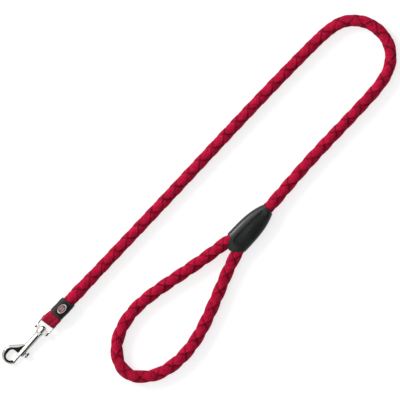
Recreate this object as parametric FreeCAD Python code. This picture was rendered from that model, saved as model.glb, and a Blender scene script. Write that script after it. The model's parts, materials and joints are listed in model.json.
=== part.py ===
"""A dog lead: one 12 mm plaited rope with a sewn hand loop, a moulded cover over the
splice, and a swivelling bolt snap held in a folded webbing neck.

Millimetres, +Z up.  The lead lies on the plane Z = 0.  The origin is on that plane, under
the middle of the box round the snap, the label sleeve and the splice cover.  +X runs from
the snap along the straight part of the rope.

The clip (strap eye, swivel and snap) is drawn in its own frame: its origin is the middle
of the eye's bar, local +X runs towards the hook, and local +Y is the side of the thumb knob.
"""
import FreeCAD
import Part

import math
import os

from FreeCAD import Placement, Rotation, Vector

# ---- rope ------------------------------------------------------------------------------
ROPE_DIAMETER = 12.0
ROPE_REST = ROPE_DIAMETER / 2           # height of the rope's centre line on the plane
ROPE_IN_SLEEVE = 6.7                    # height of its centre line inside the label sleeve
ROPE_IN_COVER = 7.3                     # height of its centre line inside the splice cover
BEND_SHARE = 0.45                       # share of the shorter run that a bend may use

# The rope's route.  It starts inside the label sleeve and ends beside itself in the cover.
STRAIGHT_RUN = [
    (-73.9, 39.2, ROPE_IN_SLEEVE),
    (60.0, 42.6, ROPE_REST),
    (212.0, 47.9, ROPE_REST),
    (292.0, 49.3, ROPE_REST),
]
FAR_BEND = [
    (332.2, 48.8, ROPE_REST),
    (351.3, 41.7, ROPE_REST),
    (365.6, 22.3, ROPE_REST),
    (365.6, -4.0, ROPE_REST),
    (351.3, -22.1, ROPE_REST),
    (329.6, -30.0, ROPE_REST),
]
RETURN_RUN = [
    (290.0, -31.9, ROPE_REST),
    (225.0, -33.3, ROPE_REST),
    (182.0, -36.2, ROPE_REST),
]
THROUGH_COVER = [
    (151.0, -38.8, ROPE_IN_COVER),
    (128.0, -35.2, ROPE_IN_COVER),
    (106.0, -33.8, ROPE_IN_COVER),
]
HAND_LOOP = [
    (62.0, -27.3, ROPE_REST),
    (-1.0, -14.3, ROPE_REST),
    (-31.6, -14.9, ROPE_REST),
    (-54.5, -23.4, ROPE_REST),
    (-66.6, -35.4, ROPE_REST),
    (-71.7, -46.0, ROPE_REST),
    (-71.7, -57.6, ROPE_REST),
    (-66.8, -66.6, ROPE_REST),
    (-51.7, -79.3, ROPE_REST),
    (-28.5, -84.9, ROPE_REST),
    (-4.4, -83.8, ROPE_REST),
    (19.1, -77.9, ROPE_REST),
    (50.0, -66.0, ROPE_REST),
    (85.0, -51.6, ROPE_REST),
]
TAIL_IN_COVER = [
    (105.0, -46.5, ROPE_IN_COVER),
    (116.0, -46.7, ROPE_IN_COVER),
]
ROPE_ROUTE = STRAIGHT_RUN + FAR_BEND + RETURN_RUN + THROUGH_COVER + HAND_LOOP + TAIL_IN_COVER

# ---- splice cover ----------------------------------------------------------------------
# Stations along the cover: X, middle Y, width, thickness.
COVER_STATIONS = [
    (152.6, -38.9, 13.8, 13.9),
    (149.5, -38.9, 15.4, 14.4),
    (144.0, -38.9, 18.6, 14.6),
    (136.0, -39.1, 21.6, 14.6),
    (127.0, -39.5, 24.2, 14.6),
    (117.0, -39.9, 26.0, 14.6),
    (105.5, -40.1, 26.2, 14.6),
]
COVER_CORNER = 6.2                      # corner radius of the cover's section
SEW_STATIONS = (108.0, 110.6, 113.2)    # X of the three rows of thread through the splice
THREAD_DIAMETER = 1.1
THREAD_SPAN = 22.0

# ---- webbing neck and label sleeve -----------------------------------------------------
NECK_WIDTH = 14.2
NECK_PLY = 2.1                          # thickness of the webbing round the bar
NECK_INNER_END = 16.4                   # from the bar back to the neck's hidden end
NECK_SHOULDER = 8.0                     # from the bar back to where the neck is thickest
NECK_ABOVE = 6.2                        # thickest part, above and below the bar
NECK_BELOW = 5.2
NECK_EDGE = 1.6                         # rounding of the neck's outer edges
TACK_DIAMETER = 1.0
TACK_OFFSETS = (-5.0, -2.5, 0.0, 2.5, 5.0)
TACK_BEHIND_BAR = 4.6

SLEEVE_NEAR_X = -81.8
SLEEVE_LENGTH = 19.9
SLEEVE_WIDTH = 15.1
SLEEVE_HEIGHT = 13.4
SLEEVE_CORNER = 5.2
BADGE_DIAMETER = 9.6
BADGE_THICKNESS = 0.9
BADGE_PROUD = 0.35

# ---- where the clip lies ---------------------------------------------------------------
BAR_CENTRE = Vector(-91.0, 39.4, 5.8)
CLIP_HEADING = 184.0                    # degrees from +X
CLIP_DROOP = 3.0                        # degrees down, so that the shank rests on the plane

# ---- strap eye -------------------------------------------------------------------------
BAR_RADIUS = 1.3
BAR_CLEARANCE = 0.3                     # between the bar and the webbing
EYE_INNER_WIDTH = 14.9
EYE_ARM = 1.3                           # width of a side arm, seen from above
EYE_ARM_HEIGHT = 2.6
EYE_ARM_CORNER = 0.5
PLATE_INNER_FACE = 9.3
PLATE_OUTER_FACE = 14.0
PLATE_WIDTH = 15.6
PLATE_HEIGHT = 5.4
PLATE_HUB_RADIUS = 3.7

# ---- swivel ----------------------------------------------------------------------------
STUD_RADIUS = 1.5
STUD_RUNNING_GAP = 0.08
SWIVEL_END_PLAY = 0.3
RIVET_HEAD_RADIUS = 3.1
RIVET_HEAD_HEIGHT = 2.0
RIVET_SEAT_LENGTH = 3.4                 # pressed length inside the snap's bore

# ---- snap body -------------------------------------------------------------------------
SHANK_RADIUS = 3.35
SHANK_START = PLATE_OUTER_FACE + SWIVEL_END_PLAY
FLARE_RADIUS = 4.6
FLARE_LENGTH = 4.0
MOUTH_FACE = 46.2                       # front end of the shank
NOSE_FACE = 56.0                        # where the bolt lands
HOOK_THICKNESS = 4.2
HOOK_EDGE = 1.25                        # rounding of the hook's edges
BIGHT_RADIUS = 4.4
BIGHT_CENTRE = (54.2, -7.0)
UPPER_BIGHT_X = 50.7                    # centre of the upper round of the hook's opening
# Outline of the hook's outside, from the shank round to the nose.
HOOK_OUTSIDE = [
    (31.5, -1.5),
    (34.4, -3.6),
    (38.2, -6.9),
    (42.3, -11.6),
    (46.0, -14.9),
    (51.4, -16.6),
    (56.0, -15.8),
    (59.6, -13.2),
    (61.7, -8.9),
    (61.1, -3.8),
    (58.6, 0.0),
    (NOSE_FACE, 1.3),
]

# ---- bolt, knob and spring -------------------------------------------------------------
BOLT_OFFSET = -0.6                      # bolt axis from the shank axis, towards the arm
BOLT_RADIUS = 1.75
BOLT_RUNNING_GAP = 0.08
BOLT_REAR = 30.0
BOLT_TIP_GAP = 0.15
BOLT_TRAVEL = 9.8
KNOB_X = 42.0
KNOB_RADIUS = 3.2
KNOB_THICKNESS = 2.2
KNOB_INNER_FACE = 4.7
KNOB_STEM_RADIUS = 1.15
SLOT_SIDE_GAP = 0.35
SPRING_COIL_RADIUS = 1.3
SPRING_WIRE_RADIUS = 0.2
SPRING_TURNS = 7
SPRING_END_GAP = 0.3

X_AXIS = Vector(1, 0, 0)
Y_AXIS = Vector(0, 1, 0)
Z_AXIS = Vector(0, 0, 1)

LEVEL_CLIP_PLACE = Placement(BAR_CENTRE, Rotation(Z_AXIS, CLIP_HEADING))
CLIP_PLACE = Placement(
    BAR_CENTRE, Rotation(Z_AXIS, CLIP_HEADING) * Rotation(Y_AXIS, CLIP_DROOP)
)
SLEEVE_PLACE = Placement(Vector(SLEEVE_NEAR_X, 39.0, SLEEVE_HEIGHT / 2), Rotation(Z_AXIS, 1.45))


def rounded_route(points):
    """Straight runs joined by tangent arcs, with the radius of each arc."""
    spots = [Vector(*p) for p in points]
    edges = []
    radii = []
    here = spots[0]
    for before, corner, after in zip(spots, spots[1:], spots[2:]):
        back = (before - corner).normalize()
        onward = (after - corner).normalize()
        tangent = BEND_SHARE * min((before - corner).Length, (after - corner).Length)
        half_turn = (math.pi - back.getAngle(onward)) / 2
        radius = tangent / math.tan(half_turn)
        arc_start = corner + back * tangent
        arc_end = corner + onward * tangent
        inward = (back + onward).normalize()
        middle = corner + inward * (radius / math.cos(half_turn) - radius)
        edges.append(Part.LineSegment(here, arc_start).toShape())
        edges.append(Part.Arc(arc_start, middle, arc_end).toShape())
        radii.append(radius)
        here = arc_end
    edges.append(Part.LineSegment(here, spots[-1]).toShape())
    return Part.Wire(edges), radii


def tube(points, diameter):
    """A round tube along a route, with its bend radii and its length."""
    path, radii = rounded_route(points)
    heading = Vector(*points[1]) - Vector(*points[0])
    ring = Part.Wire([Part.makeCircle(diameter / 2, Vector(*points[0]), heading)])
    solid = path.makePipeShell([ring], True, False)
    return solid, radii, path.Length


def rounded_slab(width, height, corner, length):
    """A slab along +X from X = 0, its section a rounded rectangle round the X axis."""
    block = Part.makeBox(length, width, height, Vector(0, -width / 2, -height / 2))
    lengthwise = [e for e in block.Edges if abs(e.tangentAt(e.FirstParameter).x) > 0.99]
    return block.makeFillet(corner, lengthwise)


def section_wire(x, y, width, thickness):
    """One rounded-rectangle section of the cover, standing on the plane Z = 0."""
    slab = rounded_slab(width, thickness, COVER_CORNER, 1.0)
    face = min(slab.Faces, key=lambda f: f.CenterOfMass.x)
    wire = face.OuterWire.copy()
    wire.translate(Vector(x, y, thickness / 2))
    return wire


def placed(shape, place):
    """The shape moved from its own frame into the lead's frame."""
    return shape.transformed(place.toMatrix(), copy=True)


def make_rope():
    rope, radii, length = tube(ROPE_ROUTE, ROPE_DIAMETER)
    expected = math.pi * ROPE_DIAMETER**2 / 4 * length
    print("rope: length %.1f, volume %.0f of %.0f" % (length, rope.Volume, expected))
    print("rope: bend radii", [round(r, 1) for r in radii])
    return rope


def make_splice_cover(rope):
    wires = [section_wire(*station) for station in COVER_STATIONS]
    return Part.makeLoft(wires, True, True).cut(rope)


def make_splice_stitching():
    rows = []
    for x in SEW_STATIONS:
        start = Vector(x, COVER_STATIONS[-1][1] - THREAD_SPAN / 2, ROPE_IN_COVER)
        rows.append(Part.makeCylinder(THREAD_DIAMETER / 2, THREAD_SPAN, start, Y_AXIS))
    return Part.makeCompound(rows)


def make_neck():
    """Webbing folded round the bar, drawn in the clip's frame without its droop."""
    fold = BAR_RADIUS + BAR_CLEARANCE + NECK_PLY
    corners = [
        Vector(0, 0, fold),
        Vector(-NECK_SHOULDER, 0, NECK_ABOVE),
        Vector(-NECK_INNER_END, 0, NECK_ABOVE),
        Vector(-NECK_INNER_END, 0, -NECK_BELOW),
        Vector(-NECK_SHOULDER, 0, -NECK_BELOW),
        Vector(0, 0, -fold),
    ]
    edges = [Part.LineSegment(a, b).toShape() for a, b in zip(corners, corners[1:])]
    edges.append(Part.Arc(corners[-1], Vector(fold, 0, 0), corners[0]).toShape())
    outline = Part.Face(Part.Wire(edges))
    outline.translate(Vector(0, -NECK_WIDTH / 2, 0))
    block = outline.extrude(Vector(0, NECK_WIDTH, 0))
    sides = [f for f in block.Faces if abs(f.normalAt(0, 0).y) > 0.99]
    block = block.makeFillet(NECK_EDGE, [e for f in sides for e in f.Edges])
    hole = Part.makeCylinder(
        BAR_RADIUS + BAR_CLEARANCE, NECK_WIDTH, Vector(0, -NECK_WIDTH / 2, 0), Y_AXIS
    )
    return placed(block.cut(hole), LEVEL_CLIP_PLACE)


def make_neck_stitching():
    """A bar tack: short threads straight down through the webbing, behind the bar."""
    tacks = []
    for offset in TACK_OFFSETS:
        foot = Vector(-TACK_BEHIND_BAR, offset, -NECK_BELOW + 1.2)
        height = NECK_BELOW + NECK_ABOVE - 2.4
        tacks.append(Part.makeCylinder(TACK_DIAMETER / 2, height, foot, Z_AXIS))
    return placed(Part.makeCompound(tacks), LEVEL_CLIP_PLACE)


def make_badge():
    foot = Vector(SLEEVE_LENGTH / 2, 0, SLEEVE_HEIGHT / 2 + BADGE_PROUD - BADGE_THICKNESS)
    disc = Part.makeCylinder(BADGE_DIAMETER / 2, BADGE_THICKNESS, foot, Z_AXIS)
    rim = [e for e in disc.Edges if e.CenterOfMass.z > foot.z + BADGE_THICKNESS * 0.9]
    return placed(disc.makeFillet(BADGE_PROUD * 0.8, rim), SLEEVE_PLACE)


def make_sleeve(rope, neck, badge):
    slab = rounded_slab(SLEEVE_WIDTH, SLEEVE_HEIGHT, SLEEVE_CORNER, SLEEVE_LENGTH)
    return placed(slab, SLEEVE_PLACE).cut(rope).cut(neck).cut(badge)


def make_strap_eye():
    """Bar, two side arms and a hub plate with the swivel hole."""
    outer_width = EYE_INNER_WIDTH + 2 * EYE_ARM
    bar = Part.makeCylinder(BAR_RADIUS, outer_width, Vector(0, -outer_width / 2, 0), Y_AXIS)
    plate = rounded_slab(PLATE_WIDTH, PLATE_HEIGHT, 1.2, PLATE_OUTER_FACE - PLATE_INNER_FACE)
    plate.translate(Vector(PLATE_INNER_FACE, 0, 0))
    hub = Part.makeCylinder(
        PLATE_HUB_RADIUS, PLATE_OUTER_FACE - PLATE_INNER_FACE, Vector(PLATE_INNER_FACE, 0, 0), X_AXIS
    )
    eye = bar.fuse([plate, hub])
    for side in (-1, 1):
        eye = eye.fuse(make_eye_arm(side))
    hole = Part.makeCylinder(
        STUD_RADIUS + STUD_RUNNING_GAP, PLATE_OUTER_FACE, Vector(PLATE_INNER_FACE - 1, 0, 0), X_AXIS
    )
    return placed(eye.cut(hole).removeSplitter(), CLIP_PLACE)


def make_eye_arm(side):
    """One side arm, leaning in from the bar's end to the corner of the plate."""
    rear = side * (EYE_INNER_WIDTH / 2)
    front = side * (PLATE_WIDTH / 2 - EYE_ARM)
    corners = [
        Vector(-BAR_RADIUS, rear, 0),
        Vector(-BAR_RADIUS, rear + side * EYE_ARM, 0),
        Vector(PLATE_OUTER_FACE - 1.0, front + side * EYE_ARM * 1.25, 0),
        Vector(PLATE_OUTER_FACE - 1.0, front, 0),
        Vector(-BAR_RADIUS, rear, 0),
    ]
    outline = Part.Face(Part.makePolygon(corners))
    outline.translate(Vector(0, 0, -EYE_ARM_HEIGHT / 2))
    arm = outline.extrude(Vector(0, 0, EYE_ARM_HEIGHT))
    return arm.makeFillet(EYE_ARM_CORNER, arm.Edges)


def make_swivel_rivet():
    """Stud through the eye's plate: a domed head inside the eye, its end in the snap."""
    head_face = PLATE_INNER_FACE - SWIVEL_END_PLAY
    dome_radius = (RIVET_HEAD_RADIUS**2 + RIVET_HEAD_HEIGHT**2) / (2 * RIVET_HEAD_HEIGHT)
    dome = Part.makeSphere(dome_radius, Vector(head_face - RIVET_HEAD_HEIGHT + dome_radius, 0, 0))
    keep = Part.makeCylinder(
        RIVET_HEAD_RADIUS, RIVET_HEAD_HEIGHT, Vector(head_face - RIVET_HEAD_HEIGHT, 0, 0), X_AXIS
    )
    stud = Part.makeCylinder(STUD_RADIUS, SHANK_START - head_face, Vector(head_face, 0, 0), X_AXIS)
    seat = Part.makeCylinder(
        BOLT_RADIUS + BOLT_RUNNING_GAP, RIVET_SEAT_LENGTH, Vector(SHANK_START, BOLT_OFFSET, 0), X_AXIS
    )
    return placed(dome.common(keep).fuse([stud, seat]).removeSplitter(), CLIP_PLACE)


def hook_plate():
    """The flat hook: its outside is one smooth curve, its opening two rounds and a land."""
    outside = Part.BSplineCurve()
    outside.interpolate([Vector(x, y, 0) for x, y in HOOK_OUTSIDE])
    first = Vector(*HOOK_OUTSIDE[0], 0)
    last = Vector(*HOOK_OUTSIDE[-1], 0)
    centre_x, centre_y = BIGHT_CENTRE
    nose_y = centre_y + math.sqrt(BIGHT_RADIUS**2 - (NOSE_FACE - centre_x) ** 2)
    nose_inner = Vector(NOSE_FACE, nose_y, 0)
    bight_left = Vector(centre_x, centre_y - BIGHT_RADIUS, 0)
    slope = math.radians(135)
    bight_middle = Vector(
        centre_x + BIGHT_RADIUS * math.sin(slope), centre_y + BIGHT_RADIUS * math.cos(slope), 0
    )
    upper_left = Vector(UPPER_BIGHT_X, bight_left.y, 0)
    upper_turn = UPPER_BIGHT_X - MOUTH_FACE
    upper_middle = Vector(
        UPPER_BIGHT_X - upper_turn * math.sin(math.pi / 4),
        bight_left.y + upper_turn * (1 - math.cos(math.pi / 4)),
        0,
    )
    upper_end = Vector(MOUTH_FACE, bight_left.y + upper_turn, 0)
    root_front = Vector(MOUTH_FACE, first.y, 0)
    edges = [
        outside.toShape(),
        Part.LineSegment(last, nose_inner).toShape(),
        Part.Arc(nose_inner, bight_middle, bight_left).toShape(),
        Part.LineSegment(bight_left, upper_left).toShape(),
        Part.Arc(upper_left, upper_middle, upper_end).toShape(),
        Part.LineSegment(upper_end, root_front).toShape(),
        Part.LineSegment(root_front, first).toShape(),
    ]
    face = Part.Face(Part.Wire(edges))
    face.translate(Vector(0, 0, -HOOK_THICKNESS / 2))
    plate = face.extrude(Vector(0, 0, HOOK_THICKNESS))
    rounded = [e for e in plate.Edges if is_hook_rim(e)]
    return plate.makeFillet(HOOK_EDGE, rounded)


def is_hook_rim(edge):
    """True for the edges of the hook's two faces that lie clear of the shank."""
    middle = edge.valueAt((edge.FirstParameter + edge.LastParameter) / 2)
    on_face = abs(abs(middle.z) - HOOK_THICKNESS / 2) < 0.01
    level = abs(edge.tangentAt(edge.FirstParameter).z) < 0.01
    inside_shank = middle.y > HOOK_OUTSIDE[0][1] - 0.01 and middle.x < MOUTH_FACE + 0.01
    return on_face and level and not inside_shank


def make_snap_body():
    flare = Part.makeCone(FLARE_RADIUS, SHANK_RADIUS, FLARE_LENGTH, Vector(SHANK_START, 0, 0), X_AXIS)
    shank = Part.makeCylinder(
        SHANK_RADIUS, MOUTH_FACE - SHANK_START, Vector(SHANK_START, 0, 0), X_AXIS
    )
    body = shank.fuse([flare, hook_plate()])
    bore = Part.makeCylinder(
        BOLT_RADIUS + BOLT_RUNNING_GAP, MOUTH_FACE - SHANK_START + 1, Vector(SHANK_START, BOLT_OFFSET, 0), X_AXIS
    )
    return placed(body.cut(bore).cut(knob_slot()).removeSplitter(), CLIP_PLACE)


def knob_slot():
    """The slot in the shank's side that the knob's stem slides along."""
    half_width = KNOB_STEM_RADIUS + SLOT_SIDE_GAP
    rear = KNOB_X - BOLT_TRAVEL - 0.2
    front = KNOB_X + 0.2
    floor = Part.makeBox(
        front - rear, SHANK_RADIUS + 2, 2 * half_width, Vector(rear, BOLT_OFFSET, -half_width)
    )
    ends = [
        Part.makeCylinder(half_width, SHANK_RADIUS + 2, Vector(x, BOLT_OFFSET, 0), Y_AXIS)
        for x in (rear, front)
    ]
    return floor.fuse(ends)


def make_bolt():
    tip = NOSE_FACE - BOLT_TIP_GAP
    bolt = Part.makeCylinder(BOLT_RADIUS, tip - BOLT_REAR, Vector(BOLT_REAR, BOLT_OFFSET, 0), X_AXIS)
    ends = [e for e in bolt.Edges if e.Closed]
    bolt = bolt.makeFillet(0.35, ends)
    socket = Part.makeCylinder(KNOB_STEM_RADIUS, BOLT_RADIUS + 1, Vector(KNOB_X, BOLT_OFFSET, 0), Y_AXIS)
    return placed(bolt.cut(socket), CLIP_PLACE)


def make_knob():
    stem = Part.makeCylinder(
        KNOB_STEM_RADIUS, KNOB_INNER_FACE - BOLT_OFFSET + 0.5, Vector(KNOB_X, BOLT_OFFSET, 0), Y_AXIS
    )
    disc = Part.makeCylinder(KNOB_RADIUS, KNOB_THICKNESS, Vector(KNOB_X, KNOB_INNER_FACE, 0), Y_AXIS)
    disc = disc.makeFillet(0.7, [e for e in disc.Edges if e.Closed])
    return placed(stem.fuse(disc).removeSplitter(), CLIP_PLACE)


def make_spring():
    """A compression spring between the rivet's seat and the rear of the bolt."""
    start = SHANK_START + RIVET_SEAT_LENGTH + SPRING_END_GAP
    length = BOLT_REAR - SPRING_END_GAP - start
    helix = Part.makeHelix(length / SPRING_TURNS, length, SPRING_COIL_RADIUS)
    ring = Part.Wire([Part.makeCircle(SPRING_WIRE_RADIUS, Vector(SPRING_COIL_RADIUS, 0, 0), Y_AXIS)])
    coil = Part.Wire(helix.Edges).makePipeShell([ring], True, True)
    coil.Placement = Placement(Vector(start, BOLT_OFFSET, 0), Rotation(Y_AXIS, 90))
    return placed(coil, CLIP_PLACE)


def save(name, shape):
    """Write one node and print what it holds."""
    box = shape.BoundBox
    print(
        "%-18s solids %d valid %s volume %9.1f  X %7.1f %7.1f  Y %7.1f %7.1f  Z %6.2f %6.2f"
        % (name, len(shape.Solids), shape.isValid(), shape.Volume,
           box.XMin, box.XMax, box.YMin, box.YMax, box.ZMin, box.ZMax)
    )
    shape.exportStep("parts/%s.step" % name)


def main():
    os.makedirs("parts", exist_ok=True)
    rope = make_rope()
    neck = make_neck()
    badge = make_badge()
    save("lead_rope", rope)
    save("splice_cover", make_splice_cover(rope))
    save("splice_stitching", make_splice_stitching())
    save("neck_webbing", neck)
    save("neck_stitching", make_neck_stitching())
    save("label_sleeve", make_sleeve(rope, neck, badge))
    save("label_badge", badge)
    save("strap_eye", make_strap_eye())
    save("swivel_rivet", make_swivel_rivet())
    save("snap_body", make_snap_body())
    save("bolt", make_bolt())
    save("thumb_knob", make_knob())
    save("bolt_spring", make_spring())


main()
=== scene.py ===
"""The looks of a plaited rope dog lead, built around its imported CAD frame.

Metres. The lead lies on Z = 0, and +X runs from the snap along the straight part of the rope.
"""

import json
import math

import bpy
import numpy as np
from mathutils import Matrix, Vector


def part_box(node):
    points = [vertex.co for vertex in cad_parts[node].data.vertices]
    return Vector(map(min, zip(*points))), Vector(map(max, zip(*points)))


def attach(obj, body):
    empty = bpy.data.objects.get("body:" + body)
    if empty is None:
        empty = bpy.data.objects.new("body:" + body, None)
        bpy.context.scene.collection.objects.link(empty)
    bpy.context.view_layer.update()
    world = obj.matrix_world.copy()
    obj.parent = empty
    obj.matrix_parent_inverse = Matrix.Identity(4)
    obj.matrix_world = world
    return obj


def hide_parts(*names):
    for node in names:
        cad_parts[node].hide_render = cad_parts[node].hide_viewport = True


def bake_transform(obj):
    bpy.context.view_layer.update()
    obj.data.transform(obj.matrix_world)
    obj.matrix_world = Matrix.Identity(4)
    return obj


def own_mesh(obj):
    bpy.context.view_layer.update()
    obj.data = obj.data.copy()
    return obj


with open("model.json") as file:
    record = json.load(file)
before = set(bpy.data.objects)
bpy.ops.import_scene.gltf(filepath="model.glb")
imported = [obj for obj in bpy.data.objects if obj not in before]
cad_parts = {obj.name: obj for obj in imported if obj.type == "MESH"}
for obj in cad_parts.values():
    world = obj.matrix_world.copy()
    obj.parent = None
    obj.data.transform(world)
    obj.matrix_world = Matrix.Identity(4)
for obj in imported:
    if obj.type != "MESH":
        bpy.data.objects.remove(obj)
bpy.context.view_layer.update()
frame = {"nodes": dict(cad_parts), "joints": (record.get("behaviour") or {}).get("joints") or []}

MM = 0.001

# The view: straight down on the lead, turned so that the rope runs from low left to high right.
VIEW_CENTRE = (0.1093, 0.0179)
VIEW_WIDTH = 0.416                      # of the lead's surface that the view takes in
VIEW_HEIGHT = 3.0
VIEW_TURN = math.radians(-45)
VIEW_REACH = 100.0
SENSOR = 36.0
ROPE_TOP = 0.006                        # height at which the view is VIEW_WIDTH wide
LIGHT_PLACE = (-0.3, 2.0, 1.3)
LIGHT_AIM = (0.1, 0.0, 0.0)
LIGHT_SIZE = 0.9
LIGHT_POWER = 45
FLOOR_HALF = 12.0
FLOOR_DROP = 0.1 * MM                   # how far the floor is below the surface that the lead lies on
FLOOR_GREY = (0.4, 0.4, 0.4)
FLOOR_GLOW = 0.72

# The rope. Its route is the CAD tube's.
STRAIGHT_RUN = [
    (-0.0739, 0.0392, 0.0067), (0.060, 0.0426, 0.006), (0.212, 0.0479, 0.006), (0.292, 0.0493, 0.006),
]
FAR_BEND = [
    (0.3322, 0.0488, 0.006), (0.3513, 0.0417, 0.006), (0.3656, 0.0223, 0.006),
    (0.3656, -0.0040, 0.006), (0.3513, -0.0221, 0.006), (0.3296, -0.0300, 0.006),
]
RETURN_RUN = [(0.290, -0.0319, 0.006), (0.225, -0.0333, 0.006), (0.182, -0.0362, 0.006)]
THROUGH_COVER = [(0.151, -0.0388, 0.0073), (0.128, -0.0352, 0.0073), (0.106, -0.0338, 0.0073)]
HAND_LOOP = [
    (0.062, -0.0273, 0.006), (-0.001, -0.0143, 0.006), (-0.0316, -0.0149, 0.006),
    (-0.0545, -0.0234, 0.006), (-0.0666, -0.0354, 0.006), (-0.0717, -0.0460, 0.006),
    (-0.0717, -0.0576, 0.006), (-0.0668, -0.0666, 0.006), (-0.0517, -0.0793, 0.006),
    (-0.0285, -0.0849, 0.006), (-0.0044, -0.0838, 0.006), (0.0191, -0.0779, 0.006),
    (0.050, -0.0660, 0.006), (0.085, -0.0516, 0.006),
]
TAIL_IN_COVER = [(0.105, -0.0465, 0.0073), (0.116, -0.0467, 0.0073)]
ROPE_ROUTE = STRAIGHT_RUN + FAR_BEND + RETURN_RUN + THROUGH_COVER + HAND_LOOP + TAIL_IN_COVER
ROUTE_RESOLUTION = 32
LINE_STEP = 0.5 * MM                    # between the places where the rope's line is measured
ROPE_LOWEST = 0.05 * MM

# The plait: two tapes wind one way and two the other, and each goes over one and under the next.
PLAIT_PITCH = 36.9 * MM
PLAIT_RADIUS = PLAIT_PITCH / (2 * math.pi)
PLAIT_SLANT = math.radians(45)
PLAIT_STEP = 0.9 * MM
TAPE_WIDTH = 13.2 * MM
TAPE_THICKNESS = 2.9 * MM
TAPE_MIDDLE = 4.2 * MM                  # from the rope's line to the middle of a tape
TAPE_WAVE = 0.5 * MM                    # how far a tape rises where it goes over, and sinks under
TAPE_SQUARENESS = 3.2                   # of a section: 2 is round, as for the other pieces below
TAPE_RING = 32                          # points round a tape
TAPE_CROWN = 2.4 * MM                   # how far the shading of a tape falls off at its edges
RIB_PITCH = 1.9 * MM
RIB_SLANT = 0.7
RIB_DEPTH = 0.35 * MM
ROPE_SQUEEZE = 0.15                     # how much the cover draws the rope in, as a share
SQUEEZE_STARTS = (-9 * MM, 3 * MM)      # from the cover's wide end, where the squeeze sets in
SQUEEZE_ENDS = (-5 * MM, 4 * MM)        # from its narrow end, where it lets go
SQUEEZE_SIDE = -20 * MM                 # only the rope on this side passes through the cover
# Where along the rope (m) the plait has turned by how much (degrees).
PLAIT_TURN = [(0.0, 66), (0.33, 66), (0.55, 14), (0.76, 0), (1.15, 0)]
# How thick the rope is at places along it (m), as a share of its diameter.
ROPE_THICKNESS = [
    (0.0, 1.04), (0.010, 1.06), (0.018, 1.14), (0.030, 1.13), (0.05, 1.05), (0.35, 1.03),
    (0.45, 1.05), (0.66, 1.05), (0.76, 1.10), (1.07, 1.10), (1.12, 1.07),
]

# The splice cover: bullet-shaped, a sunk panel on top, and a tongue between the ropes at its wide end.
COVER_NARROW_X = 152.6 * MM
COVER_WIDE_X = 104.6 * MM
COVER_WIDTH = 26.4 * MM
COVER_MIDDLE = -40.2 * MM
COVER_ASIDE = 1.5 * MM                  # how far its middle line drifts by the narrow end
COVER_SQUARENESS = 2.5
COVER_NARROWING = 0.49                  # share of its width the cover loses at its narrow end
COVER_FULLNESS = 3.3                    # how late along the cover it narrows
COVER_HEIGHT = 14.5 * MM
COVER_PANEL_DEPTH = 0.6 * MM
COVER_RIDGE = 0.22 * MM
COVER_RIDGE_PLACE = -0.12               # across the cover, from -1 to 1
COVER_TONGUE = 10.6 * MM                # how far the tongue runs on past the wide end
COVER_TONGUE_DIP = 0.16                 # share of its height the tongue loses at its tip
# How far the ends' edges are drawn in, and moved along, in mm.
COVER_WIDE_LIP = [(4.0, 4.0), (1.6, 1.2), (0.9, 0.25), (0.35, 0.0)]
COVER_NARROW_LIP = [(0.35, 0.0), (0.9, -0.25), (1.6, -1.2)]

# The label sleeve round the rope's end, and its badge.
SLEEVE_X = (-81.8 * MM, -61.9 * MM)
SLEEVE_Y = 39.3 * MM
SLEEVE_RISE = 0.025                     # how fast its middle line moves aside along it
SLEEVE_WIDTH = 15.8 * MM
SLEEVE_HEIGHT = 13.4 * MM
SLEEVE_SQUARENESS = 2.9
SLEEVE_HEM = 1.3 * MM
SLEEVE_HEM_RISE = 0.3 * MM
SLEEVE_SLANT = (0.3 * MM, -1.4 * MM)    # how far each end's edge slants from its middle to its side
SLEEVE_WAVE = 0.14 * MM
SLEEVE_LIP = [(2.4, 1.5), (0.7, 0.1)]   # as for the cover
BADGE_RADIUS = 5.8 * MM                 # along the rope
BADGE_NARROWING = 0.68                  # its width as a share of its length
# The badge from its middle out: a share of its radius, and a height in mm.
BADGE_PROFILE = [
    (0.0, 0.0), (0.12, 0.0), (0.25, 0.0), (0.38, 0.0), (0.5, -0.02), (0.62, -0.25), (0.70, -0.25),
    (0.78, -0.03), (0.86, 0.02), (0.94, 0.0), (1.0, -0.15), (1.0, -0.9),
]
BADGE_BAR_DEPTH = 0.22 * MM
BADGE_BAR_END = 0.55                    # share of the radius that the bars reach
BADGE_BAR_TURNS = 2.4

# The padded webbing neck, from its fold round the eye's bar back into the sleeve.
NECK_FOLD = 3.7 * MM
NECK_LENGTH = 16.4 * MM
NECK_WIDTH = 16.8 * MM
NECK_ABOVE = 6.2 * MM
NECK_BELOW = 5.2 * MM
NECK_BACK = 9.0 * MM                    # from the bar to where it has its full height
NECK_SQUARENESS = 2.8
NECK_CORNER = 1.2 * MM                  # how far the fold's corners draw in
NECK_ASIDE = 0.9 * MM
NECK_BACK_LOSS = 0.3 * MM               # how much narrower each side is behind the bar
NECK_TAIL = (7.5 * MM, 12.0 * MM)       # behind the bar, where it narrows into the sleeve
NECK_TAIL_LOSS = 1.7 * MM
NECK_QUILT = 0.24 * MM
NECK_SEAM = 5.6 * MM                    # the sewn line, behind the bar
NECK_SEAM_DEPTH = 0.3 * MM
STITCHES = 9                            # on each side of the neck
STITCH_RADIUS = 0.3 * MM
STITCH_POINTS = 9
STITCH_GAP = 0.15                       # at each end of a stitch, as a share of their pitch
SEAM_SPAN = 1.5                         # of the neck's width from -1 to 1, how much the stitches take up

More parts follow.
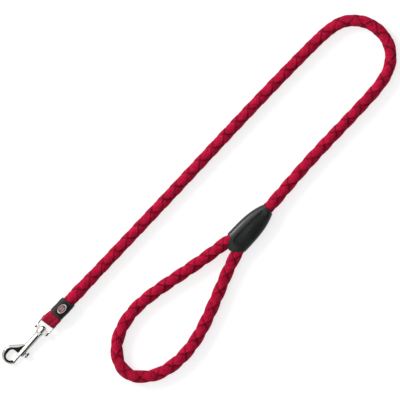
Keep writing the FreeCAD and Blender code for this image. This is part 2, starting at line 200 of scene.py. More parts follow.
# The hook's rim: x towards the hook and y to the knob's side from the eye's bar, and its half width, in mm.
HOOK_RIM = [
    (30.0, -2.95, 0.3), (33.0, -3.1, 0.5), (36.3, -4.1, 1.2), (39.6, -6.5, 1.7), (43.2, -10.4, 1.7),
    (46.4, -13.4, 1.75), (51.4, -15.1, 1.7), (55.4, -14.5, 1.4), (58.7, -12.5, 1.1), (61.0, -8.8, 0.85),
    (60.4, -4.0, 0.75), (58.0, -0.5, 0.7), (56.5, 0.5, 0.55),
]
HOOK_RIM_HEIGHT = 2.6 * MM              # above and below the hook's middle plane
HOOK_RIM_SQUARENESS = 2.3
# The bolt's spring, from the same bar.
BOLT_OFFSET = -0.6 * MM
SPRING_ENDS = (18.2 * MM, 29.5 * MM)
SPRING_RADIUS = 1.25 * MM
SPRING_WIRE = 0.2 * MM
SPRING_TURNS = 7
# The eye's ears: x, y and height of the middle, in mm, and their half sizes.
EYE_EARS = {"eye_ear_left": (12.3, -7.15, 2.2), "eye_ear_right": (11.8, 7.4, 2.2)}
EAR_HALF = (1.75 * MM, 0.95 * MM, 0.9 * MM)
# An ear from its foot to its sunk top: the angle of rise in degrees, and the share of its height.
EAR_PROFILE = [
    (-80, 1), (-60, 1), (-35, 1), (0, 1), (20, 1), (38, 1), (50, 1), (60, 0.90), (72, 0.84), (84, 0.80),
]
# Places on the clip where its metal is painted darker, as shade in the hook's hollows and as dark reflection
# on the eye's arms and the knob's head, from the bar.
PLATE_START = 30.0 * MM
PLATE_TIP = 46.3 * MM
PLATE_SIDE = -3.0 * MM
ARM_SIDE = 7.25 * MM
ARM_END = 9.0 * MM
KNOB_HEAD_START = 4.9 * MM

# Colours.
NICKEL = (0.76, 0.75, 0.715)
# painted dark reflection on the metal's upright sides
NICKEL_SIDE_REFLECTION = (0.26, 0.255, 0.24)
# painted shade in the hook's hollows, and painted dark reflection on the eye's arms and the knob's head
NICKEL_PAINTED_SHADE = (0.022, 0.021, 0.018)
SPRING_STEEL = (0.55, 0.55, 0.56)
BLACKENED = (0.05, 0.048, 0.045)
TAPE_DEEP = (0.09, 0.0007, 0.007)
TAPE_BRIGHT = (0.66, 0.0055, 0.051)
TAPE_WORN = (0.62, 0.007, 0.055)
TAPE_DUSKY = (0.16, 0.001, 0.011)
TAPE_FLECK = (0.75, 0.012, 0.075)
# painted shade along the tapes' edges and where they dive under
TAPE_SEAM_SHADE = (0.05, 0.0004, 0.004)
WEBBING_DEEP = (0.15, 0.0011, 0.012)
WEBBING_BRIGHT = (0.40, 0.0036, 0.033)
WEBBING_FLECK = (0.68, 0.009, 0.070)
WEBBING_DUSKY = (0.15, 0.001, 0.012)
# painted shade on the front of the neck's fold round the eye's bar
WEBBING_FOLD_SHADE = (0.05, 0.0006, 0.005)
THREAD_DEEP = (0.20, 0.003, 0.014)
THREAD_BRIGHT = (0.42, 0.006, 0.03)
RUBBER_DEEP = (0.005, 0.006, 0.006)
RUBBER_PALE = (0.012, 0.014, 0.013)
SLEEVE_DEEP = (0.006, 0.006, 0.006)
SLEEVE_PALE = (0.016, 0.015, 0.014)
SLEEVE_HEM_COLOUR = (0.075, 0.055, 0.048)
BADGE_PINK = (0.42, 0.24, 0.26)
BADGE_SILVER = (0.55, 0.53, 0.52)
BADGE_DARK = (0.05, 0.03, 0.032)


def joint(name):
    """A joint of the frame by its name."""
    return next(j for j in frame["joints"] if j["name"] == name)


BAR = Vector(joint("eye_hinge")["pos_m"])
TOWARDS_HOOK = -Vector(joint("snap_swivel")["axis"])
KNOB_SIDE = -Vector(joint("eye_hinge")["axis"])


def clip_place(forward):
    """Where the clip's own frame is: +X towards the hook, +Y on the knob's side, from the bar's middle."""
    forward = Vector(forward).normalized()
    place = Matrix((forward, KNOB_SIDE, forward.cross(KNOB_SIDE))).transposed().to_4x4()
    place.translation = BAR
    return place


CLIP = clip_place(TOWARDS_HOOK)
LEVEL_CLIP = clip_place((TOWARDS_HOOK.x, TOWARDS_HOOK.y, 0))


def spline_line(route):
    """Points along the smooth line that has the route's points as its NURBS control points."""
    curve = bpy.data.curves.new("rope_route", "CURVE")
    curve.dimensions = "3D"
    curve.resolution_u = ROUTE_RESOLUTION
    spline = curve.splines.new("NURBS")
    spline.points.add(len(route) - 1)
    for point, place in zip(spline.points, route):
        point.co = (*place, 1)
    spline.order_u = 3
    spline.use_endpoint_u = True
    holder = bpy.data.objects.new("rope_route", curve)
    mesh = bpy.data.meshes.new_from_object(holder)
    line = np.array([v.co for v in mesh.vertices])
    bpy.data.meshes.remove(mesh)
    bpy.data.curves.remove(curve)
    return line


def unit(vectors):
    """The same directions with a length of 1."""
    return vectors / np.linalg.norm(vectors, axis=1)[:, None]


def lengths_along(points):
    """How far along a line of points each of them is."""
    return np.concatenate([[0], np.cumsum(np.linalg.norm(np.diff(points, axis=0), axis=1))])


class Line:
    """A line measured by its length, with a level side direction and an up direction at each place."""

    def __init__(self, points, step):
        along = lengths_along(points)
        self.length = along[-1]
        self.at = np.linspace(0, self.length, int(self.length / step) + 1)
        self.points = np.stack([np.interp(self.at, along, points[:, k]) for k in range(3)], axis=1)
        self.tangent = unit(np.gradient(self.points, self.at, axis=0))
        self.side = unit(np.cross([0.0, 0.0, 1.0], self.tangent))
        self.up = np.cross(self.tangent, self.side)

    def read(self, values, at):
        """The values at these lengths, running on straight past the line's ends."""
        return np.stack([np.interp(at, self.at, values[:, k]) for k in range(3)], axis=-1)

    def place(self, at, angle, radius):
        """Points at that angle round the line, from its left side over its top, and that far from it."""
        past = at - np.clip(at, 0, self.length)
        centre = self.read(self.points, at) + past[..., None] * self.read(self.tangent, at)
        side = self.read(self.side, at)
        up = self.read(self.up, at)
        out = np.cos(angle)[..., None] * side + np.sin(angle)[..., None] * up
        return centre + radius[..., None] * out


def mesh_object(name, points, faces):
    """A mesh object in the scene from its points and faces."""
    mesh = bpy.data.meshes.new(name)
    mesh.from_pydata([tuple(p) for p in np.asarray(points, float)], [], [tuple(f) for f in faces])
    mesh.validate()
    mesh.update()
    mesh.shade_smooth()
    piece = bpy.data.objects.new(name, mesh)
    bpy.context.scene.collection.objects.link(piece)
    return piece


def store(piece, name, values):
    """Keeps a number at each point of a piece, for its material to read."""
    attribute = piece.data.attributes.new(name, "FLOAT", "POINT")
    attribute.data.foreach_set("value", np.asarray(values, np.float32).ravel())


def ring_faces(rings, ring, first=0):
    """Faces of a tube of that many rings of points, closed at both ends."""
    faces = []
    for i in range(rings - 1):
        for j in range(ring):
            k = (j + 1) % ring
            a = first + i * ring
            faces.append((a + j, a + k, a + ring + k, a + ring + j))
    faces.append(tuple(first + j for j in reversed(range(ring))))
    faces.append(tuple(first + (rings - 1) * ring + j for j in range(ring)))
    return faces


def rounded(value, squareness):
    """A cosine or sine bent so that the ring that it makes is squarer than a circle."""
    return np.sign(value) * np.abs(value) ** (2 / squareness)


def ring_shape(count, squareness):
    """Angles round a ring, and how far across and up it is at each, from -1 to 1."""
    phi = np.linspace(0, 2 * math.pi, count, endpoint=False)
    return phi, rounded(np.cos(phi), squareness), rounded(np.sin(phi), squareness)


def in_clip(points):
    """Points given in the clip's own frame, put in their place."""
    return [CLIP @ Vector(p) for p in points]


def plait_tape(line, way, half_turn):
    """One tape of the plait: its points, what is kept at each of them, and its faces.

    Kept are how far along and across the tape a point is, and whether it goes over (1) or under (-1).
    """
    steps = int(line.length / PLAIT_STEP)
    s = np.linspace(0, line.length, steps)[:, None]
    _, v, rise = ring_shape(TAPE_RING, TAPE_SQUARENESS)
    wind = 2 * math.pi * s / PLAIT_PITCH
    over = -way * np.cos(2 * wind)
    across = TAPE_WIDTH / 2 * v[None, :]
    out = TAPE_THICKNESS / 2 * rise[None, :]
    at = s - way * across * math.sin(PLAIT_SLANT)
    turn = np.radians(along_rope(at, PLAIT_TURN))
    angle = turn + half_turn * math.pi + way * wind + across * math.cos(PLAIT_SLANT) / PLAIT_RADIUS
    radius = TAPE_MIDDLE + TAPE_WAVE * over + out
    points = line.place(at, angle, radius * along_rope(at, ROPE_THICKNESS) * squeeze(line, at))
    along = np.broadcast_to(s / math.cos(PLAIT_SLANT), at.shape)
    kept = [np.broadcast_to(values, at.shape).ravel() for values in (along, across, over)]
    return points.reshape(-1, 3), kept, ring_faces(steps, TAPE_RING)


def squeeze(line, at):
    """How much the rope is drawn in, as a share: it is tighter inside the splice cover."""
    centre = line.read(line.points, at)
    x, y = centre[..., 0], centre[..., 1]
    inside = smooth_step(x - COVER_WIDE_X, *SQUEEZE_STARTS)
    inside = inside * (1 - smooth_step(x - COVER_NARROW_X, *SQUEEZE_ENDS))
    return 1 - ROPE_SQUEEZE * inside * (y < SQUEEZE_SIDE)


def along_rope(at, values):
    """A value at places along the rope, from a list of places and values."""
    places, numbers = zip(*values)
    return np.interp(at, places, numbers)


def make_rope():
    """The four tapes of the plait as one mesh along the rope's route."""
    line = Line(spline_line(ROPE_ROUTE), LINE_STEP)
    points, kept, faces = [], [], []
    for way in (1, -1):
        for half_turn in (0, 1):
            tape_points, tape_kept, tape_faces = plait_tape(line, way, half_turn)
            first = sum(len(p) for p in points)
            points.append(tape_points)
            kept.append(tape_kept)
            faces += [tuple(first + i for i in face) for face in tape_faces]
    points = np.concatenate(points)
    points[:, 2] = np.maximum(points[:, 2], ROPE_LOWEST)
    rope = mesh_object("plaited_rope", points, faces)
    for name, values in zip(("along", "across", "over"), np.concatenate(kept, axis=1)):
        store(rope, name, values)
    rope.data.materials.append(tape_material())
    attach(rope, "lead")
    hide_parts("lead_rope")


class Nodes:
    """A material's node tree, with short ways to add and join nodes."""

    def __init__(self, name):
        self.material = bpy.data.materials.new(name)
        self.material.use_nodes = True
        self.tree = self.material.node_tree
        self.shader = self.tree.nodes["Principled BSDF"]

    def node(self, kind, **settings):
        """A new node of that kind with its settings."""
        made = self.tree.nodes.new(kind)
        for key, value in settings.items():
            setattr(made, key, value)
        return made

    def put(self, socket, value):
        """Joins another node's output to a socket, or sets the socket to a number or colour."""
        if isinstance(value, bpy.types.NodeSocket):
            self.tree.links.new(value, socket)
        else:
            socket.default_value = value

    def set(self, **values):
        """Sets or joins the shader's sockets."""
        for key, value in values.items():
            self.put(self.shader.inputs[key.replace("_", " ")], value)

    def specular(self, level):
        """Sets how strongly the shader reflects straight on."""
        self.shader.inputs["Specular IOR Level"].default_value = level

    def read(self, name):
        """A number kept at the piece's points."""
        return self.node("ShaderNodeAttribute", attribute_name=name).outputs["Fac"]

    def place(self):
        """Where the surface is, in the piece's own frame."""
        return self.node("ShaderNodeTexCoord").outputs["Object"]

    def parts(self):
        """The x, y and z of where the surface is."""
        split = self.node("ShaderNodeSeparateXYZ")
        self.put(split.inputs[0], self.place())
        return split.outputs

    def dot(self, vector, direction):
        """How far a vector goes along a direction."""
        made = self.node("ShaderNodeVectorMath", operation="DOT_PRODUCT")
        self.put(made.inputs[0], vector)
        made.inputs[1].default_value = direction
        return made.outputs["Value"]

    def maths(self, operation, a, b=0.0):
        """The result of a sum or other operation."""
        made = self.node("ShaderNodeMath", operation=operation)
        self.put(made.inputs[0], a)
        self.put(made.inputs[1], b)
        return made.outputs[0]

    def wave(self, value, length):
        """A sine of the value, with that wavelength."""
        return self.maths("SINE", self.maths("MULTIPLY", value, 2 * math.pi / length))

    def noise(self, scale, detail=2.0):
        """Cloudy noise through the piece's own space."""
        made = self.node("ShaderNodeTexNoise")
        self.put(made.inputs["Vector"], self.place())
        made.inputs["Scale"].default_value = scale
        made.inputs["Detail"].default_value = detail
        return made.outputs["Fac"]

    def mix(self, share, a, b):
        """A colour between two, by the second one's share."""
        made = self.node("ShaderNodeMix", data_type="RGBA")
        for socket, value in ((made.inputs[0], share), (made.inputs[6], a), (made.inputs[7], b)):
            self.put(socket, (*value, 1) if isinstance(value, tuple) else value)
        return made.outputs[2]

    def scale_range(self, value, low, high, to_low, to_high):
        """The value stretched from one range to another, and kept inside it."""
        made = self.node("ShaderNodeMapRange")
        self.put(made.inputs["Value"], value)
        for name, number in (("From Min", low), ("From Max", high), ("To Min", to_low), ("To Max", to_high)):
            made.inputs[name].default_value = number
        return made.outputs[0]

    def bump(self, height, distance, strength=1.0):
        """A normal that follows a height."""
        made = self.node("ShaderNodeBump")
        self.put(made.inputs["Height"], height)
        made.inputs["Distance"].default_value = distance
        made.inputs["Strength"].default_value = strength
        return made.outputs["Normal"]


def tape_material():
    """Crimson tape: fine slanting ribs each side of its middle, with painted shade at its edges and where it
    dives.
    """
    n = Nodes("crimson_tape")
    from_middle = n.maths("ABSOLUTE", n.read("across"))
    slanted = n.maths("ADD", n.read("along"), n.maths("MULTIPLY", from_middle, RIB_SLANT))
    rib = n.scale_range(n.wave(slanted, RIB_PITCH), -1, 1, 0, 1)

    crown = n.scale_range(from_middle, 0.22 * TAPE_WIDTH, 0.5 * TAPE_WIDTH, 0, 1)
    fall = n.maths("MULTIPLY", n.maths("MULTIPLY", crown, crown), TAPE_CROWN)
    relief = n.maths("SUBTRACT", n.maths("MULTIPLY", rib, RIB_DEPTH), fall)

    # painted shade along the tape's edges and where it dives under the next tape, made uneven by noise
    edge = n.scale_range(from_middle, 0.34 * TAPE_WIDTH, 0.49 * TAPE_WIDTH, 0, 1)
    dive_shade = n.scale_range(n.read("over"), -0.10, 0.26, 1, 0)
    uneven = n.scale_range(n.noise(75), 0.40, 0.58, 0.60, 1.0)
    seam = n.maths("MULTIPLY", n.maths("MAXIMUM", edge, dive_shade), uneven)

    colour = n.mix(rib, TAPE_DEEP, TAPE_BRIGHT)
    colour = n.mix(n.scale_range(n.noise(160), 0.42, 0.66, 0, 0.5), colour, TAPE_WORN)
    colour = n.mix(n.scale_range(n.noise(420), 0.50, 0.68, 0, 0.45), colour, TAPE_DUSKY)
    colour = n.mix(n.scale_range(n.noise(800, 1), 0.50, 0.64, 0, 0.35), colour, TAPE_FLECK)
    # the painted shade at the seams
    colour = n.mix(n.maths("MULTIPLY", seam, 0.85), colour, TAPE_SEAM_SHADE)
    n.set(Base_Color=colour, Roughness=0.85, Sheen_Weight=0.04, Normal=n.bump(relief, 1.0))
    n.specular(0.1)
    n.shader.inputs["Sheen Roughness"].default_value = 0.4
    n.shader.inputs["Sheen Tint"].default_value = (1.0, 0.35, 0.45, 1)
    return n.material


def loft(name, rings):
    """A closed mesh through rings of points, all with the same number of points."""
    count, ring = len(rings), len(rings[0])
    return mesh_object(name, np.reshape(rings, (-1, 3)), ring_faces(count, ring))


def smooth_step(value, low, high):
    """A number that goes smoothly from 0 at low to 1 at high."""
    share = np.clip((value - low) / (high - low), 0, 1)
    return share * share * (3 - 2 * share)


def make_cover():
    """The moulded splice cover: a sunk panel with a fine ridge on top, and a tongue between the two ropes."""
    _, v, rise = ring_shape(120, COVER_SQUARENESS)
    tongue = np.clip(np.minimum((v + 1.0) / 0.90, (0.66 - v) / 0.50), 0, 1)
    tongue *= 1.45 - 0.45 * tongue
    panel_across = smooth_step(-v, -0.42, -0.26) * (1 - smooth_step(-v, 0.74, 0.90))
    ridge_across = np.exp(-(((v - COVER_RIDGE_PLACE) / 0.045) ** 2))
    rings = []

    def ring(u, shrink, inset=0.0):
        """The section a share u of the way from the wide end, drawn in by shrink and moved along by inset."""
        end = COVER_WIDE_X - COVER_TONGUE * tongue
        x = end + u * (COVER_NARROW_X - end) + inset
        narrow = np.clip((x - COVER_WIDE_X) / (COVER_NARROW_X - COVER_WIDE_X), 0, 1)
        half = COVER_WIDTH / 2 * (1 - COVER_NARROWING * narrow ** COVER_FULLNESS) - shrink
        y = COVER_MIDDLE + COVER_ASIDE * narrow + half * v
        panel = panel_across * smooth_step(u, 0.10, 0.22) * (1 - smooth_step(u, 0.86, 0.96))
        ridge = ridge_across * smooth_step(u, 0.30, 0.45) * (1 - smooth_step(u, 0.55, 0.72))
        relief = (COVER_PANEL_DEPTH * panel - COVER_RIDGE * ridge) * np.abs(rise)
        height = COVER_HEIGHT / 2 - shrink - relief
        height *= 1 - COVER_TONGUE_DIP * tongue ** 2 * (1 - smooth_step(u, 0.0, 0.20))
        rings.append(np.stack([x, y, COVER_HEIGHT / 2 + height * rise], axis=1))

    for shrink, inset in COVER_WIDE_LIP:
        ring(0.0, shrink * MM, inset * MM)
    for u in np.linspace(0.006, 0.994, 90):
        ring(u, 0.0)
    for shrink, inset in COVER_NARROW_LIP:
        ring(1.0, shrink * MM, inset * MM)
    cover = loft("moulded_cover", rings)
    cover.data.materials.append(rubber_material())
    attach(cover, "lead")
    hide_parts("splice_cover")


def make_sleeve():
    """The soft label sleeve, hemmed at both ends."""
    phi, v, rise = ring_shape(72, SLEEVE_SQUARENESS)
    near, far = SLEEVE_X
    rings, along = [], []

    def ring(u, shrink, inset=0.0):
        """The section a share u of the way along, drawn in by shrink and moved along by inset."""
        start = near + SLEEVE_SLANT[0] * v
        end = far + SLEEVE_SLANT[1] * v
        x = start + u * (end - start) + inset
        middle = SLEEVE_Y + SLEEVE_RISE * (x - near)
        wave = SLEEVE_WAVE * np.sin(3 * phi + 9 * u) * np.sin(math.pi * u)
        y = middle + (SLEEVE_WIDTH / 2 - shrink + wave) * v
        z = SLEEVE_HEIGHT / 2 + (SLEEVE_HEIGHT / 2 - shrink + wave * 0.5) * rise
        rings.append(np.stack([x, y, np.maximum(z, 0)], axis=1))
        along.append(np.full(len(phi), u))

    for shrink, inset in SLEEVE_LIP:
        ring(0.0, shrink * MM, inset * MM)
    for u in np.linspace(0.0, 1.0, 60):
        from_end = min(u, 1 - u) * (far - near)
        groove = math.exp(-((from_end - SLEEVE_HEM) / (0.35 * MM)) ** 2)
        edge = 0.45 * MM * math.exp(-from_end / (0.3 * MM))
        ring(u, edge + SLEEVE_HEM_RISE * groove)
    for shrink, inset in reversed(SLEEVE_LIP):
        ring(1.0, shrink * MM, -inset * MM)
    sleeve = loft("hemmed_sleeve", rings)
    store(sleeve, "along", np.concatenate(along))
    sleeve.data.materials.append(sleeve_material())
    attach(sleeve, "lead")
    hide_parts("label_sleeve")


def make_badge():
    """The badge on the sleeve: a raised rim round two short bars, with no lettering."""
    low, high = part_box("label_badge")
    centre = (low + high) / 2
    turns = np.linspace(0, 2 * math.pi, 64, endpoint=False)
    rings, raised = [], []
    for share, rise in BADGE_PROFILE:
        radius = share * BADGE_RADIUS
        height = rise * MM
        across = BADGE_NARROWING * radius * np.sin(turns)
        bars = np.ones_like(turns)
        if share < BADGE_BAR_END:
            bars = np.abs(np.sin(across / BADGE_RADIUS * BADGE_BAR_TURNS * math.pi))
        z = high.z + height - BADGE_BAR_DEPTH * (1 - bars)
        rings.append(np.stack([centre.x + radius * np.cos(turns), centre.y + across, z], axis=1))
        raised.append((height > -0.1 * MM) * bars)
    badge = loft("ringed_badge", rings[::-1])
    store(badge, "raised", np.concatenate(raised[::-1]))
    badge.data.materials.append(badge_material(centre))
    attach(badge, "lead")
    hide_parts("label_badge")


def neck_points(x, v, rise):
    """Points of the neck's surface, x along the clip, and v across and rise up, both from -1 to 1."""
    back = smooth_step(-x, 0.0, NECK_BACK)
    nose = math.sqrt(max(0.0, 1 - (max(x, 0) / NECK_FOLD) ** 2))
    above = (NECK_FOLD + (NECK_ABOVE - NECK_FOLD) * back) * nose
    below = (NECK_FOLD + (NECK_BELOW - NECK_FOLD) * back) * nose
    half = NECK_WIDTH / 2 - NECK_CORNER * (1 - nose) ** 1.5 - NECK_BACK_LOSS * back
    half -= NECK_TAIL_LOSS * smooth_step(-x, *NECK_TAIL)
    quilt = NECK_QUILT * np.cos(3 * math.pi * v) * (1 - np.abs(v) ** 4) * nose
    sewn = math.exp(-((x + NECK_SEAM) / (0.8 * MM)) ** 2) * (1 - np.abs(v) ** 6)
    height = np.where(rise > 0, above, below) + quilt - NECK_SEAM_DEPTH * sewn
    forward = x * (1 - 0.16 * v) if x > 0 else x * np.ones_like(v)
    aside = NECK_ASIDE * back + half * v
    points = np.stack([forward, aside, height * rise], axis=-1)
    return np.array([LEVEL_CLIP @ Vector(p) for p in points.reshape(-1, 3)])


def keep_above_ground(piece):
    """Presses what is below the ground up to it."""
    for vertex in piece.data.vertices:
        vertex.co.z = max(vertex.co.z, 0.0)


def make_neck():
    """The padded webbing neck, folded round the eye's bar, with its sewn line behind the bar."""
    phi, v, rise = ring_shape(80, NECK_SQUARENESS)
    rings, along = [], []
    nose = NECK_FOLD * np.sin(np.linspace(0.06, 1.5, 16))
    for x in np.concatenate([np.linspace(-NECK_LENGTH, 0, 48), nose]):
        rings.append(neck_points(x, v, rise))
        along.append(np.full(len(phi), x))
    neck = loft("padded_neck", rings)
    keep_above_ground(neck)
    store(neck, "along", np.concatenate(along))
    neck.data.materials.append(webbing_material())
    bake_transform(neck)
    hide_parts("neck_webbing")

    stitches = [[], []]
    for side in (1, -1):
        for k in range(STITCHES):
            first = k - STITCHES / 2 + STITCH_GAP
            last = k + 1 - STITCHES / 2 - STITCH_GAP
            v = np.linspace(first, last, STITCH_POINTS) / STITCHES * SEAM_SPAN
            rise = side * (1 - np.abs(v) ** NECK_SQUARENESS) ** (1 / NECK_SQUARENESS)
            path = neck_points(-NECK_SEAM, v, rise)
            sunk = 0.35 * MM * np.linspace(-1, 1, STITCH_POINTS) ** 4
            path[:, 2] += side * (0.1 * MM - sunk)
            add_tube(stitches, path, np.full(STITCH_POINTS, STITCH_RADIUS))
    seam = mesh_object("neck_seam", np.concatenate(stitches[0]), stitches[1])
    keep_above_ground(seam)
    seam.data.materials.append(thread_material())
    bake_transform(seam)
    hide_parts("neck_stitching")


def add_tube(parts, path, radius, ring=10):
    """Adds a closed round tube along a path to lists of points and faces, with a radius at each point."""
    tangent = unit(np.gradient(path, axis=0))
    side = unit(np.cross([0.0, 0.0, 1.0], tangent))
    up = np.cross(tangent, side)
    phi = np.linspace(0, 2 * math.pi, ring, endpoint=False)
    out = np.cos(phi)[None, :, None] * side[:, None, :] + np.sin(phi)[None, :, None] * up[:, None, :]
    points = path[:, None, :] + radius[:, None, None] * out
    first = sum(len(p) for p in parts[0])
    parts[0].append(points.reshape(-1, 3))
    parts[1] += ring_faces(len(path), ring, first)


def make_hook_rim():
    """The rounded rim that runs down the hook's arm and round its outer edge, standing above its plate."""
    corners = np.array([(x, y) for x, y, half in HOOK_RIM]) * MM
    path = spline_line([(x, y, 0) for x, y in corners])
    chords = lengths_along(corners)
    lengths = lengths_along(path)
    half = np.interp(lengths / lengths[-1], chords / chords[-1], [h * MM for x, y, h in HOOK_RIM])
    side = np.cross([0.0, 0.0, 1.0], unit(np.gradient(path, axis=0)))
    _, out, up = ring_shape(28, HOOK_RIM_SQUARENESS)
    rings = []
    for k, centre in enumerate(path):
        rise = np.array([0, 0, HOOK_RIM_HEIGHT]) * up[:, None]
        rings.append(in_clip(centre + side[k] * (half[k] * out)[:, None] + rise))
    rim = loft("hook_rim", rings)
    rim.data.materials.append(metal_material("rim_nickel", NICKEL, 0.08))
    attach(rim, "snap")


def make_spring():
    """The bolt's coil spring inside the barrel."""
    turn = np.linspace(0, 2 * math.pi * SPRING_TURNS, 24 * SPRING_TURNS)
    phi = np.linspace(0, 2 * math.pi, 10, endpoint=False)
    rings = []
    for forward, angle in zip(np.linspace(*SPRING_ENDS, len(turn)), turn):
        x = forward + SPRING_WIRE * np.sin(phi)
        radius = SPRING_RADIUS + SPRING_WIRE * np.cos(phi)
        y = BOLT_OFFSET + radius * math.cos(angle)
        rings.append(in_clip(np.stack([x, y, radius * math.sin(angle)], axis=1)))
    spring = loft("barrel_spring", rings)
    spring.data.materials.append(metal_material("spring_steel", SPRING_STEEL, 0.25))
    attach(spring, "snap")
    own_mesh(spring)
    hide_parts("bolt_spring")


def make_eye_ears():
    """The two small blackened rivet ends at the corners of the eye's plate."""
    turns = np.linspace(0, 2 * math.pi, 32, endpoint=False)
    for name, (x, y, z) in EYE_EARS.items():
        rings = []
        for rise, share in EAR_PROFILE:
            wide = math.cos(math.radians(rise))
            forward = x * MM + EAR_HALF[0] * wide * np.cos(turns)
            aside = y * MM + EAR_HALF[1] * wide * np.sin(turns)
            up = z * MM + EAR_HALF[2] * math.sin(math.radians(rise)) * share
            rings.append(in_clip(np.stack([forward, aside, np.full(len(turns), up)], axis=1)))
        ear = loft(name, rings)
        ear.data.materials.append(metal_material(name + "_black", BLACKENED, 0.3))
        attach(ear, "eye")


def rubber_material():
    """Black moulded rubber with a fine grain and slightly paler, rougher patches."""
    n = Nodes("cover_rubber")
    patchy = n.noise(90)
    colour = n.mix(patchy, RUBBER_DEEP, RUBBER_PALE)
    rough = n.scale_range(patchy, 0.3, 0.7, 0.30, 0.44)
    n.set(Base_Color=colour, Roughness=rough, Normal=n.bump(n.noise(2600, 4), 0.00006, 0.6))
    n.specular(0.42)
    return n.material


def sleeve_material():
    """Black soft plastic with a warm grey line at each hem."""
    n = Nodes("sleeve_plastic")
    along = n.read("along")
    from_end = n.maths("MINIMUM", along, n.maths("SUBTRACT", 1.0, along))
    line = n.scale_range(n.maths("ABSOLUTE", n.maths("SUBTRACT", from_end, 0.065)), 0.012, 0.03, 1, 0)
    colour = n.mix(n.noise(260), SLEEVE_DEEP, SLEEVE_PALE)
    colour = n.mix(n.maths("MULTIPLY", line, 0.6), colour, SLEEVE_HEM_COLOUR)
    n.set(Base_Color=colour, Roughness=0.5, Normal=n.bump(n.noise(1800, 3), 0.0001, 0.5))
    n.specular(0.2)
    return n.material


def badge_material(centre):
    """Pale pink on its raised parts, dark between them, and silvery towards its two ends."""
    n = Nodes("badge_print")
    from_middle = n.maths("ABSOLUTE", n.maths("SUBTRACT", n.parts()["X"], centre.x))
    silver = n.scale_range(from_middle, 0.55 * BADGE_RADIUS, 0.85 * BADGE_RADIUS, 0, 1)
    raised = n.scale_range(n.read("raised"), 0.3, 0.8, 0, 1)
    colour = n.mix(raised, BADGE_DARK, n.mix(silver, BADGE_PINK, BADGE_SILVER))
    n.set(Base_Color=colour, Roughness=0.45)
    return n.material


def webbing_material():
    """Crimson woven webbing: fine crossing ribs, flecked, and with painted shade where it folds over the bar.
    """
    n = Nodes("crimson_webbing")
    along = n.read("along")
    warp = n.wave(n.parts()["Y"], 1.0 * MM)
    weft = n.wave(along, 1.2 * MM)
    weave = n.scale_range(n.maths("MULTIPLY", warp, weft), -1, 1, 0, 1)
    colour = n.mix(weave, WEBBING_DEEP, WEBBING_BRIGHT)
    colour = n.mix(n.scale_range(n.noise(420), 0.46, 0.64, 0, 0.45), colour, WEBBING_FLECK)
    colour = n.mix(n.scale_range(n.noise(260, 1), 0.50, 0.66, 0, 0.4), colour, WEBBING_DUSKY)
    # painted shade on the front of the fold over the bar
    hem = n.scale_range(along, 0.70 * NECK_FOLD, 0.86 * NECK_FOLD, 0, 0.85)
    colour = n.mix(hem, colour, WEBBING_FOLD_SHADE)
    n.set(Base_Color=colour, Roughness=0.85, Normal=n.bump(weave, 0.00025, 0.8))
    n.specular(0.2)
    return n.material


def metal_material(name, colour, roughness, shaded=None):
    """Bright plated metal with faint polishing marks, a painted dark reflection on its upright sides, and
    painted shade and dark reflection where shaded(n) says.
    """
    n = Nodes(name)
    marks = n.noise(900, 3)
    tint = n.mix(marks, tuple(0.93 * c for c in colour), colour)
    rough = n.scale_range(marks, 0.3, 0.7, roughness, roughness + 0.05)
    # painted dark reflection on the sides that stand upright in the clip's frame
    facing = n.dot(n.node("ShaderNodeTexCoord").outputs["Normal"], CLIP.to_3x3().col[2])
    side_reflection = n.scale_range(n.maths("ABSOLUTE", facing), 0.50, 0.90, 0.85, 0)
    tint = n.mix(side_reflection, tint, NICKEL_SIDE_REFLECTION)
    # painted shade and dark reflection where shaded(n) says
    if shaded:
        share = shaded(n)
        tint = n.mix(share, tint, NICKEL_PAINTED_SHADE)
        rough = n.maths("ADD", rough, n.maths("MULTIPLY", share, 0.25))
    n.set(Base_Color=tint, Metallic=1.0, Roughness=rough, Normal=n.bump(n.noise(500), 0.00004, 0.25))
    return n.material


def clip_parts(n):
    """How far a point of the clip is towards the hook, to the knob's side and up, from the bar's middle."""
    return [n.maths("SUBTRACT", n.dot(n.place(), axis), BAR.dot(axis)) for axis in CLIP.to_3x3().transposed()]


def hook_hollow_shade(n):
    """Painted shade on the flat faces of the hook's plate, which lie lower than its rim and the barrel."""
    x, y, z = clip_parts(n)
    height = n.maths("ABSOLUTE", z)
    above_middle = n.scale_range(height, 0.7 * MM, 1.3 * MM, 0, 1)
    below_rim = n.scale_range(height, 2.13 * MM, 2.2 * MM, 1, 0)
    flat = n.maths("MULTIPLY", above_middle, below_rim)
    past_barrel = n.scale_range(y, PLATE_SIDE, PLATE_SIDE + 0.1 * MM, 1, 0)
    past_tip = n.scale_range(x, PLATE_TIP, PLATE_TIP + 0.2 * MM, 0, 1)
    beside = n.maths("MAXIMUM", past_barrel, past_tip)
    plate = n.maths("MULTIPLY", n.scale_range(x, PLATE_START, PLATE_START + 1 * MM, 0, 1), beside)
    return n.maths("MULTIPLY", flat, plate)


def eye_arm_reflection(n):
    """A painted dark reflection on the eye's two side arms, up to its plate."""
    x, y, _ = clip_parts(n)
    outside = n.scale_range(n.maths("ABSOLUTE", y), ARM_SIDE, ARM_SIDE + 0.2 * MM, 0, 1)
    before_plate = n.scale_range(x, ARM_END, ARM_END + 1 * MM, 1, 0)
    return n.maths("MULTIPLY", n.maths("MULTIPLY", outside, before_plate), 0.70)


def knob_head_reflection(n):
    """The knob's broad head, with a painted dark reflection that makes it darker than its neck."""
    _, y, _ = clip_parts(n)
    return n.scale_range(y, KNOB_HEAD_START - 0.2 * MM, KNOB_HEAD_START + 0.2 * MM, 0, 0.6)


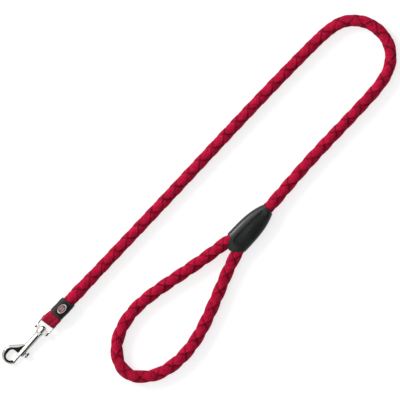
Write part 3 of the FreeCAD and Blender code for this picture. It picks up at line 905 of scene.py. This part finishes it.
def thread_material():
    """Dark red sewing thread with a fine grain."""
    n = Nodes("dark_red_thread")
    colour = n.mix(n.noise(1500), THREAD_DEEP, THREAD_BRIGHT)
    n.set(Base_Color=colour, Roughness=0.8, Normal=n.bump(n.noise(3000), 0.0001, 0.6))
    return n.material


def finish_nodes():
    """Gives the CAD nodes that stay their finish."""
    nickel = metal_material("bright_nickel", NICKEL, 0.07)
    finishes = {
        "strap_eye": metal_material("eye_nickel", NICKEL, 0.07, eye_arm_reflection),
        "swivel_rivet": nickel,
        "snap_body": metal_material("snap_nickel", NICKEL, 0.07, hook_hollow_shade),
        "bolt": nickel,
        "thumb_knob": metal_material("knob_nickel", NICKEL, 0.09, knob_head_reflection),
        "splice_stitching": thread_material(),
    }
    for name, material in finishes.items():
        node = frame["nodes"][name]
        node.data.materials.clear()
        node.data.materials.append(material)


def make_floor():
    """A wide pale floor under the lead."""
    corners = [(x * FLOOR_HALF, y * FLOOR_HALF, -FLOOR_DROP) for x, y in ((-1, -1), (1, -1), (1, 1), (-1, 1))]
    floor = mesh_object("floor", corners, [(0, 1, 2, 3)])
    n = Nodes("pale_floor")
    n.set(Base_Color=(*FLOOR_GREY, 1), Roughness=0.9)
    n.set(Emission_Color=(1, 1, 1, 1), Emission_Strength=FLOOR_GLOW)
    floor.data.materials.append(n.material)


def make_light():
    """A soft square light that shines at the lead from its far side."""
    lamp = bpy.data.lights.new("key", "AREA")
    lamp.shape = "SQUARE"
    lamp.size = LIGHT_SIZE
    lamp.energy = LIGHT_POWER
    holder = bpy.data.objects.new("key", lamp)
    holder.location = LIGHT_PLACE
    aim = Vector(LIGHT_AIM) - Vector(LIGHT_PLACE)
    holder.rotation_euler = aim.to_track_quat("-Z", "Y").to_euler()
    holder.visible_camera = False
    bpy.context.scene.collection.objects.link(holder)


def make_world():
    """A white surrounding, dark on the view's right up to a paler far side, and greyer round the horizon."""
    world = bpy.data.worlds.new("studio")
    world.use_nodes = True
    tree = world.node_tree
    background = tree.nodes["Background"]
    direction = tree.nodes.new("ShaderNodeTexCoord").outputs["Generated"]

    def ramp(towards, low, high, to_low, to_high):
        """A number that goes smoothly between two as a direction turns towards another."""
        dot = tree.nodes.new("ShaderNodeVectorMath")
        dot.operation = "DOT_PRODUCT"
        tree.links.new(direction, dot.inputs[0])
        dot.inputs[1].default_value = towards
        made = tree.nodes.new("ShaderNodeMapRange")
        made.interpolation_type = "SMOOTHSTEP"
        tree.links.new(dot.outputs["Value"], made.inputs["Value"])
        for name, number in (("From Min", low), ("From Max", high), ("To Min", to_low), ("To Max", to_high)):
            made.inputs[name].default_value = number
        return made.outputs[0]

    def combine(operation, a, b):
        """The result of an operation on two numbers."""
        made = tree.nodes.new("ShaderNodeMath")
        made.operation = operation
        tree.links.new(a, made.inputs[0])
        tree.links.new(b, made.inputs[1])
        return made.outputs[0]

    right = (math.cos(VIEW_TURN), math.sin(VIEW_TURN), 0.0)
    dark_side = combine("MAXIMUM", ramp(right, -0.05, 0.03, 1.0, 0.02), ramp(right, 0.45, 0.66, 0.0, 0.6))
    strength = combine("MULTIPLY", dark_side, ramp((0, 0, 1), 0.05, 0.3, 0.45, 1.0))
    tree.links.new(strength, background.inputs["Strength"])
    background.inputs["Color"].default_value = (1.0, 1.0, 1.0, 1)
    bpy.context.scene.world = world


def make_camera():
    """Looks straight down on the lead from high up."""
    camera = bpy.data.objects.new("camera", bpy.data.cameras.new("camera"))
    camera.data.sensor_width = SENSOR
    camera.data.lens = SENSOR * (VIEW_HEIGHT - ROPE_TOP) / VIEW_WIDTH
    camera.data.clip_end = VIEW_REACH
    camera.location = (*VIEW_CENTRE, VIEW_HEIGHT)
    camera.rotation_euler = (0, 0, VIEW_TURN)
    bpy.context.scene.collection.objects.link(camera)
    bpy.context.scene.camera = camera


make_camera()
make_world()
make_light()
make_floor()
make_rope()
make_cover()
make_sleeve()
make_badge()
make_neck()
make_hook_rim()
make_eye_ears()
make_spring()
finish_nodes()

bpy.context.scene.view_settings.view_transform = "Standard"
